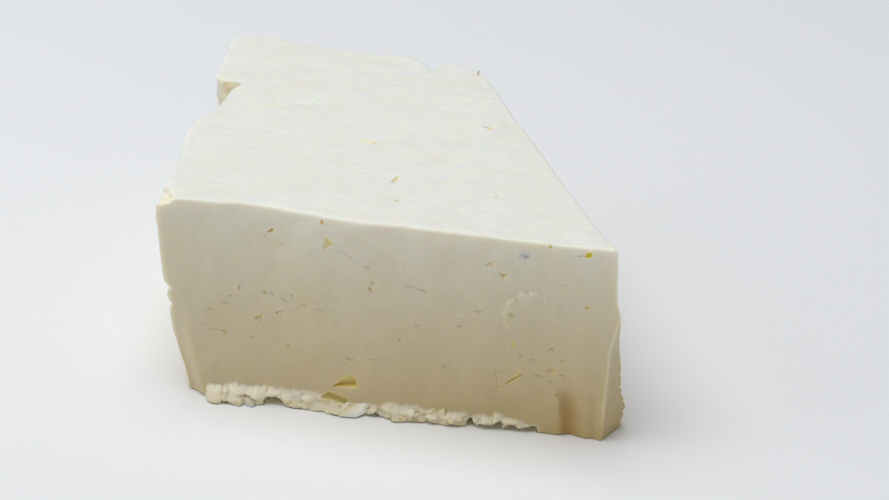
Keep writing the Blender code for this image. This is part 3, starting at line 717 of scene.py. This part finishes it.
chance = random.Random(CRUMB_SEED)
for index, side in enumerate(CRUMBS):
    _, start, end, _ = FACES[index]
    length = (end - start).length
    for number in range(CRUMBS[side]):
        share = (number + chance.uniform(0.1, 0.9)) / CRUMBS[side]
        radius = chance.uniform(CRUMB_SMALL, CRUMB_LARGE)
        up = chance.uniform(0.15, 1.0) * CRUMB_RISE
        if side == "front":
            along = CRUMBS_FROM + CRUMBS_RUN * share
            shrink = 1.0 - RIGHT_SHRINK * rise(along, 55.0, 78.0)
        else:
            along = length * (0.05 + 0.9 * share)
            shrink = SIDE_SHRINK
        radius *= shrink
        up *= shrink
        spot = face_point(index, along, up) - outward(start, end) * CRUMB_SUNK * radius
        if side == "front" and any(start_x < spot.x < end_x for start_x, end_x in BARE_FOOT):
            continue
        turn = Euler([chance.uniform(0.0, 3.1) for _ in range(3)])
        size = [part * radius for part in CRUMB_SHAPE]
        crumb(f"crumb_{side}_{number}", (spot.x, spot.y, up), size, turn, chance)

# The tooth of curd that leans out of the foot under the cave: its corners, across, back and up.
TOOTH = ((40.9, 0.3, 2.7), (45.2, 0.35, 2.9), (43.6, -2.2, 0.4), (39.6, -2.5, 0.4))
TOOTH += ((46.4, 0.6, 1.2), (45.6, 0.4, 0.5), (41.0, 1.6, 2.7), (45.6, 1.6, 2.9))
TOOTH += ((41.0, 1.6, 0.5), (45.4, 1.6, 0.5))
hull("tooth", TOOTH, loose)

# The flake: a pillow of curd that fills its recess but for a crack along its lower right side. Its
# layers say how far in from the face each lies and what share of the outline it takes up.
FLAKE_OUTLINE = ((73.9, 14.8), (76.9, 15.45), (79.3, 15.6), (78.5, 14.1))
FLAKE_OUTLINE += ((76.4, 12.5), (75.0, 10.6), (74.5, 9.8))
FLAKE_LAYERS = ((0.14, 0.9), (0.0, 0.7), (1.1, 1.0))
FLAKE_MIDDLE, FLAKE_WORN = (76.2, 13.6), 4
flake = []
for back, share in FLAKE_LAYERS:
    for outline_x, outline_z in FLAKE_OUTLINE:
        x = FLAKE_MIDDLE[0] + share * (outline_x - FLAKE_MIDDLE[0])
        z = FLAKE_MIDDLE[1] + share * (outline_z - FLAKE_MIDDLE[1])
        flake.append((x, front_spot(x, z).y + back, z))
hull("flake", flake, loose, FLAKE_WORN)

# Dry specks of curd that the knife left on the front face: along it, up it and across, in mm.
SPECKS = (
    (20.9, 36.3, 0.5), (32.4, 38.1, 0.45), (39.9, 31.8, 0.4), (13.8, 6.6, 0.5), (60.0, 11.2, 0.45),
    (86.6, 3.4, 0.7), (71.2, 9.6, 0.35), (51.4, 9.2, 0.4), (66.9, 18.3, 0.3), (29.7, 30.6, 0.3),
)  # fmt: skip
for index, (x, z, across) in enumerate(SPECKS):
    turn, size = Euler((0.0, 0.4 * index, 0.0)), (across, 0.8 * across, across)
    pebble(f"speck_{index}", front_spot(x, z), size, turn, loose, 0.4, 2, 70.0 + index)
apply_boolean("UNION", loose)

# The foot doesn't meet the tray all along: it arches clear of it in places. Along, width, height.
arches = new_collection("Foot arches")
ARCHES = ((24.2, 4.8, 2.1), (47.0, 3.6, 0.9), (68.8, 2.0, 2.1), (71.9, 5.8, 1.3))
ARCHES += ((74.9, 2.4, 2.3), (78.3, 5.8, 1.5), (82.4, 4.4, 1.7), (13.4, 2.2, 0.9))
ARCH_DEEP = 9.0
for index, (x, wide, tall) in enumerate(ARCHES):
    centre, size = (x, front_spot(x, 1.0).y + 1.0, 0.0), (wide, ARCH_DEEP, 2.0 * tall)
    pebble(f"cutter_arch_{index}", centre, size, Euler((0, 0, 0)), arches, 0.3, 4, 61.0 + index, 0.06)
apply_boolean("DIFFERENCE", arches)

# ---------------------------------------------------------------- the skin of the curd
# Pressed fresh curd is a moist, close white protein gel: light goes a few millimetres in and comes out
# warmer, so eyes and thin edges glow yellow while torn, dry crumbs scatter whiter. It has a satin sheen.

# Part of the glow in the eyes and at thin edges, and shade at the foot, in the fold and on the cut, is
# painted into the colour below.
final = block.data
# How deep each point lies below the unbroken skin, in mm, and above it with a minus. The worn corner at the
# front left counts as nearly unbroken, so that little painted eye glow falls on it.
WORN_REACH, WORN_SHARE = 6.0, 0.25
sunk = np.zeros(len(final.vertices), np.float32)
for index, vert in enumerate(final.vertices):
    place, normal, _, distance = skin.find_nearest(vert.co)
    inside = (vert.co - place).dot(normal) < 0.0
    sunk[index] = (distance if inside else -distance) / MM
    if (vert.co / MM + PLAN_CENTRE - WORN_CORNER).length < WORN_REACH:
        sunk[index] *= WORN_SHARE

FRONT_LENGTH = (FRONT_RIGHT - FRONT_LEFT).length
# How much painted glow the thin edges at the left and right ends of the front face get, for light that
# passes through them.
LEFT_GLOW, RIGHT_GLOW = 0.8, 0.55


def thin_edge(x, z):
    """How near a place on the front face lies to its sharp ends, where painted glow stands in for light
    passing through.
    """
    start, end = face_point(0, 0.0, z), face_point(0, FRONT_LENGTH, z)
    foot, bend, head = FACET_LOW[1][0], FACET_BEND[1][0], FACET_HIGH[1][0]
    ridge = foot + (bend - foot) * z / FACET_BEND_HEIGHT
    if z > FACET_BEND_HEIGHT:
        ridge = bend + (head - bend) * (z - FACET_BEND_HEIGHT) / (FACET_TOP - FACET_BEND_HEIGHT)
    if z > FACET_TOP:
        ridge = end.x
    right = RIGHT_GLOW * (1.0 - rise(abs(x - ridge), 0.05, 0.45))
    left = LEFT_GLOW * (1.0 - rise(x - start.x, 0.2, 1.3)) * rise(z, 6.0, 20.0)
    return max(right * rise(z, 2.0, 8.0), left) * (1.0 - rise(z, 45.0, 46.5))


# Where a deeper gold glow is painted into the eyes: across, back, up, how far it reaches, and how strongly.
GOLD_GLOW_SPOTS = (
    (93.9, 0.0, 45.8, 1.1, 1.0), (92.7, 0.0, 45.5, 0.6, 0.8), (85.6, 0.0, 46.7, 0.7, 0.8),
    (23.4, -1.5, 41.8, 1.0, 0.3), (12.6, -1.0, 16.2, 0.8, 0.4), (77.9, 0.0, 22.0, 0.8, 0.4),
    (35.4, -1.0, 45.9, 0.8, 0.3), (93.9, 0.0, 33.2, 0.8, 0.35),
)  # fmt: skip
GLOW_BACK = 3.0
# A little of that painted glow lies on the walls of the torn step: its middle, how far it reaches, and its
# share.
STEP_PLACE, STEP_REACH, STEP_GLOW = Vector((-4.5, 57.0, 30.0)), Vector((5.0, 12.0, 22.0)), 0.10
# The torn lip is whiter up to this height and this far back, less so near the tray, which is painted shade,
# and the tooth, between these places along it, is whitest of all.
LIP_TOP, LIP_BACK = 6.0, 4.0
TOOTH_FROM, TOOTH_TO, TOOTH_BACK, TOOTH_LIP = 40.0, 45.8, 0.2, 1.5
# Only points this near the face and its ends can lie on its thin edges.
EDGE_BACK, EDGE_FOOT, EDGE_LEFT, EDGE_RIGHT = 3.0, 2.0, 2.0, 95.0
cut_outward = outward(FRONT_RIGHT, CUT_BACK)
lip = np.zeros(len(final.vertices), np.float32)
cut_shade = np.zeros(len(final.vertices), np.float32)
painted_glow = np.zeros(len(final.vertices), np.float32)
for index, vert in enumerate(final.vertices):
    x, y, z = vert.co / MM + PLAN_CENTRE
    if z < LIP_TOP and y < LIP_BACK:
        # The lip's white fades towards the tray: painted shade.
        lip[index] = rise(lip_share(x, z), 0.0, 0.4) * (0.5 + 0.5 * rise(z, 0.4, 3.0))
        if TOOTH_FROM < x < TOOTH_TO and y < TOOTH_BACK:
            lip[index] = TOOTH_LIP
    # Painted glow: the listed eyes and the walls of the torn step are marked gold.
    for stain_x, stain_y, stain_z, reach, share in GOLD_GLOW_SPOTS:
        if abs(x - stain_x) < reach and abs(z - stain_z) < reach and abs(y - stain_y) < GLOW_BACK:
            painted_glow[index] = max(painted_glow[index], share * rise(sunk[index], 0.03, 0.25))
    inside = Vector((x, y, z)) - STEP_PLACE
    if all(abs(inside[axis]) < STEP_REACH[axis] for axis in range(3)) and vert.normal.z < 0.5:
        painted_glow[index] = max(painted_glow[index], STEP_GLOW)
    # Painted glow: the thin ends of the front face are painted whiter.
    if y < EDGE_BACK and z > EDGE_FOOT and (x < EDGE_LEFT or x > EDGE_RIGHT):
        lip[index] = max(lip[index], thin_edge(x, z))
    # Painted shade: faces turned the way of the cut are marked to be painted a darker straw, except on the
    # lip.
    cut_shade[index] = rise(vert.normal.dot(cut_outward), 0.55, 0.85) * (1.0 - lip[index])
for name, values in (("sunk_mm", sunk), ("lip", lip), ("cut_shade", cut_shade), ("painted_glow", painted_glow)):
    layer = final.attributes.new(name, "FLOAT", "POINT")
    layer.data.foreach_set("value", values)
for face in final.polygons:
    face.use_smooth = True
SHARP_FROM = 42
final.set_sharp_from_angle(angle=math.radians(SHARP_FROM))


def linear(hex_code):
    """The linear colour of an sRGB hex code."""
    channels = [int(hex_code[i : i + 2], 16) / 255.0 for i in (1, 3, 5)]
    return [c / 12.92 if c <= 0.04045 else ((c + 0.055) / 1.055) ** 2.4 for c in channels] + [1.0]


# The moist curd itself, and the slightly creamier curd between the whitest of it.
CURD_WHITE = "#F1EEE2"
CURD_CREAM = "#ECE6D2"
# The wire dragged cream over the top in streaks, which stay pale.
STREAK_CREAM = "#EBE2C2"
# Painted shade and warm bounce light: the foot is painted creamier and darker. The fold beside the right
# foot is painted a soft brown as shade, and faces turned the way of the cut are painted a dull straw as
# shade.
FOOT_WARM_SHADE = "#CBB581"
FOLD_SHADE_BROWN = "#BB945A"
CUT_SHADE_STRAW = "#CBAC74"
# Painted glow: the inside of the eyes is painted a clear pale yellow, for light bouncing inside them, and
# some eyes and the torn step a deeper gold.
EYE_GLOW_YELLOW = "#FFF0A4"
EYE_GLOW_GOLD = "#FFEE66"
# Torn, dry crumbs are a clean warm white. The same white is painted onto the thin ends of the front face as
# painted glow, and onto the lip less near the tray as painted shade.
CRUMB_WHITE_AND_GLOW = "#FCF6E3"

curd = bpy.data.materials.new("pressed_fresh_curd")
curd.use_nodes = True
tree = curd.node_tree
surface = tree.nodes["Principled BSDF"]


def add_node(kind, settings=None, links=None):
    """Adds a node: settings go to its sockets by name or number, or to itself, and links to its inputs.

    A node given as a link stands for its first output. A map range turns 1 to 2 into 3 to 4.
    """
    node = tree.nodes.new(kind)
    for key, value in (settings or {}).items():
        if isinstance(key, str) and hasattr(node, key):
            setattr(node, key, value)
        else:
            node.inputs[key].default_value = value
    for key, source in (links or {}).items():
        socket = source.outputs[0] if isinstance(source, bpy.types.Node) else source
        tree.links.new(socket, node.inputs[key])
    return node


place = add_node("ShaderNodeTexCoord").outputs["Object"]
axes = add_node("ShaderNodeSeparateXYZ", links={0: place})
place_x, place_z = axes.outputs["X"], axes.outputs["Z"]
# Curds of about 9 mm knit together with faint differences of cream.
CURD_SIZE = 9.0
curds = add_node(
    "ShaderNodeTexNoise", {"Scale": 1 / (CURD_SIZE * MM), "Detail": 3.0, "Roughness": 0.5}, {"Vector": place}
)
cream = add_node(
    "ShaderNodeMix", {"data_type": "RGBA", 6: linear(CURD_WHITE), 7: linear(CURD_CREAM)}, {0: curds}
)
# The wire that levelled the top left fine drag lines along X, just over one to a millimetre and about
# 29 mm long, and with them streaks of cream.
LINES_ALONG, LINES_ACROSS = 0.035 / MM, 1.1 / MM
stretched = add_node(
    "ShaderNodeMapping", {"Scale": (LINES_ALONG, LINES_ACROSS, LINES_ALONG)}, {"Vector": place}
)
drag = add_node("ShaderNodeTexNoise", {"Scale": 1.0, "Detail": 2.0}, {"Vector": stretched})
streak = add_node("ShaderNodeMapRange", {1: 0.52, 2: 0.72, 3: 0.0, 4: 0.40}, {0: drag})
# Painted shade and warm bounce light: the curd is painted creamier and darker downwards and to the right,
# most at its right foot.
height = add_node("ShaderNodeMapRange", {1: 46.8 * MM, 2: 0.0, 3: 0.0, 4: 1.0}, {0: place_z})
low = add_node("ShaderNodeMath", {"operation": "POWER", 1: 0.7}, {0: height})
across = add_node("ShaderNodeMapRange", {1: -45.0 * MM, 2: 45.0 * MM, 3: 0.74, 4: 1.0}, {0: place_x})
painted_foot_shade = add_node("ShaderNodeMath", {"operation": "MULTIPLY"}, {0: low, 1: across})
# Painted shade: the fold beside the right foot is painted brown, and faces turned the way of the cut a
# little darker.
fold_from = add_node("ShaderNodeMapRange", {1: 42.8 * MM, 2: 44.5 * MM, 3: 0.0, 4: 1.0}, {0: place_x})
fold_to = add_node("ShaderNodeMapRange", {1: 45.5 * MM, 2: 49.2 * MM, 3: 1.0, 4: 0.0}, {0: place_x})
fold_up = add_node("ShaderNodeMapRange", {1: 14.0 * MM, 2: 7.0 * MM, 3: 0.0, 4: 0.8}, {0: place_z})
fold_wide = add_node("ShaderNodeMath", {"operation": "MULTIPLY"}, {0: fold_from, 1: fold_to})
fold = add_node("ShaderNodeMath", {"operation": "MULTIPLY"}, {0: fold_wide, 1: fold_up})
# Painted shade on faces turned like the cut, stronger low down.
cut_facing = add_node("ShaderNodeAttribute", {"attribute_name": "cut_shade"}).outputs["Fac"]
cut_shade_low = add_node("ShaderNodeMapRange", {1: 40.0 * MM, 2: 10.0 * MM, 3: 0.15, 4: 0.60}, {0: place_z})
cut_shade_share = add_node("ShaderNodeMath", {"operation": "MULTIPLY"}, {0: cut_facing, 1: cut_shade_low})
# Painted glow yellows the inside of the eyes, and torn crumbs are whiter than the face they stand on.
depth = add_node("ShaderNodeAttribute", {"attribute_name": "sunk_mm"}).outputs["Fac"]
hollow = add_node("ShaderNodeMapRange", {1: 0.03, 2: 0.60, 3: 0.0, 4: 0.75}, {0: depth})
glow_share = add_node("ShaderNodeAttribute", {"attribute_name": "painted_glow"}).outputs["Fac"]
lip_and_edge_glow = add_node("ShaderNodeAttribute", {"attribute_name": "lip"}).outputs["Fac"]
crumbs = add_node("ShaderNodeMapRange", {1: -0.1, 2: -0.9, 3: 0.0, 4: 1.0}, {0: depth})
crumbs_and_glow = add_node("ShaderNodeMath", {"operation": "MAXIMUM"}, {0: lip_and_edge_glow, 1: crumbs})
proud = add_node("ShaderNodeMapRange", {1: 0.0, 2: 1.5, 3: 0.0, 4: 0.90}, {0: crumbs_and_glow})
# Each tint lies over the ones before it, where its node says so.
tints = (
    (streak, STREAK_CREAM),
    # painted warm shade towards the foot
    (painted_foot_shade, FOOT_WARM_SHADE),
    # painted shade in the fold
    (fold, FOLD_SHADE_BROWN),
    # painted shade on faces turned like the cut
    (cut_shade_share, CUT_SHADE_STRAW),
    # painted glow inside the eyes
    (hollow, EYE_GLOW_YELLOW),
    # painted gold glow at the listed eyes and the step walls
    (glow_share, EYE_GLOW_GOLD),
    # whiter crumbs, with painted glow at thin edges and painted shade near the tray
    (proud, CRUMB_WHITE_AND_GLOW),
)
tinted = cream.outputs[2]
for share, colour in tints:
    mixed = add_node("ShaderNodeMix", {"data_type": "RGBA", 7: linear(colour)}, {0: share, 6: tinted})
    tinted = mixed.outputs[2]
tree.links.new(tinted, surface.inputs["Base Color"])
# The drag lines, open pores of about 1 mm and broad dimples of about 6 mm break the sheen.
PORE_SIZE, DIMPLE_SIZE = 1.1, 6.0
DIMPLE_DEPTH, DRAG_DEPTH, PORE_DEPTH = 0.7, 0.2, 0.2
pores = add_node(
    "ShaderNodeTexNoise", {"Scale": 1 / (PORE_SIZE * MM), "Detail": 4.0, "Roughness": 0.6}, {"Vector": place}
)
dimples = add_node("ShaderNodeTexNoise", {"Scale": 1 / (DIMPLE_SIZE * MM), "Detail": 2.0}, {"Vector": place})
bumped = None
for relief, strength, deep in (
    (dimples, 0.6, DIMPLE_DEPTH),
    (drag, 0.4, DRAG_DEPTH),
    (pores, 0.35, PORE_DEPTH),
):
    links = {"Height": relief} if bumped is None else {"Height": relief, "Normal": bumped}
    bumped = add_node("ShaderNodeBump", {"Strength": strength, "Distance": deep * MM}, links)
tree.links.new(bumped.outputs[0], surface.inputs["Normal"])
# Moisture leaves a satin sheen, duller where a dimple dried.
moist = add_node("ShaderNodeMapRange", {1: 0.3, 2: 0.7, 3: 0.42, 4: 0.60}, {0: dimples})
tree.links.new(moist.outputs[0], surface.inputs["Roughness"])
surface.inputs["IOR"].default_value = 1.40
surface.inputs["Specular IOR Level"].default_value = 0.35
# Red light goes 1.7 mm into the curd, green three quarters of that and blue a third, which is what
# makes thin edges and the depths of the eyes warmer.
LIGHT_REACH = 1.7
surface.inputs["Subsurface Weight"].default_value = 0.9
surface.inputs["Subsurface Radius"].default_value = (1.0, 0.74, 0.32)
surface.inputs["Subsurface Scale"].default_value = LIGHT_REACH * MM
final.materials.clear()
final.materials.append(curd)
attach(block, "root")
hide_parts("cheese_block")

# ---------------------------------------------------------------- the floor, the light and the camera
# A wide sheet of matte off-white paper, a broad cool light above, which turns the paper a pale blue, a
# weak one from the left and a weak warm one, low in front. The camera is a long lens that looks down on
# the front face from a little to its right. Sizes here are in metres.

FLOOR_HALF = 3.0
PAPER_WHITE = "#F0EDE6"
sheet_mesh = bmesh.new()
bmesh.ops.create_grid(sheet_mesh, x_segments=1, y_segments=1, size=FLOOR_HALF)
studio = new_collection("Studio")
floor = new_object("floor", sheet_mesh, studio)
paper = bpy.data.materials.new("matte_backdrop_paper")
paper.use_nodes = True
paper_surface = paper.node_tree.nodes["Principled BSDF"]
paper_surface.inputs["Base Color"].default_value = linear(PAPER_WHITE)
paper_surface.inputs["Roughness"].default_value = 0.9
paper_surface.inputs["Specular IOR Level"].default_value = 0.1
floor.data.materials.append(paper)

AIR_COLOUR, AIR_STRENGTH = (0.90, 0.95, 1.0, 1.0), 0.22
world = bpy.data.worlds.new("studio_air")
world.use_nodes = True
world.node_tree.nodes["Background"].inputs["Color"].default_value = AIR_COLOUR
world.node_tree.nodes["Background"].inputs["Strength"].default_value = AIR_STRENGTH
bpy.context.scene.world = world

LIGHTS_AIM = Vector((0.0, 0.0, 0.02))
# Where each light stands, how wide its disc is, its power in watts and its colour.
LIGHTS = {
    "top_light": ((-0.20, -0.05, 1.10), 1.1, 11.7, (0.84, 0.89, 1.0)),
    "left_light": ((-1.0, -0.3, 0.5), 0.8, 1.5, (0.95, 0.97, 1.0)),
    "front_fill": ((0.35, -1.1, 0.22), 0.8, 0.8, (1.0, 0.92, 0.74)),
}
for name, (stand, wide, power, colour) in LIGHTS.items():
    lamp = bpy.data.lights.new(name, "AREA")
    lamp.shape = "DISK"
    lamp.size = wide
    lamp.energy = power
    lamp.color = colour
    light = bpy.data.objects.new(name, lamp)
    light.location = stand
    light.rotation_euler = (LIGHTS_AIM - Vector(stand)).to_track_quat("-Z", "Y").to_euler()
    studio.objects.link(light)

# The camera's place in mm from the middle of the block's foot, then its turns in degrees.
CAMERA_PLACE = Vector((110.063, -493.798, 276.8))
CAMERA_TURN, CAMERA_DOWN, CAMERA_ROLL = 11.709, 27.149, 0.640
SENSOR_WIDTH, FOCAL_LENGTH, NEAREST = 36.0, 97.2, 0.01
lens = bpy.data.cameras.new("camera")
lens.sensor_width = SENSOR_WIDTH
lens.lens = FOCAL_LENGTH
lens.clip_start = NEAREST
camera = bpy.data.objects.new("camera", lens)
camera.matrix_world = (
    Matrix.Translation(CAMERA_PLACE * MM)
    @ Matrix.Rotation(math.radians(CAMERA_TURN), 4, "Z")
    @ Matrix.Rotation(math.radians(90.0 - CAMERA_DOWN), 4, "X")
    @ Matrix.Rotation(math.radians(CAMERA_ROLL), 4, "Z")
)
studio.objects.link(camera)
bpy.context.scene.camera = camera
bpy.context.scene.view_settings.view_transform = "Standard"
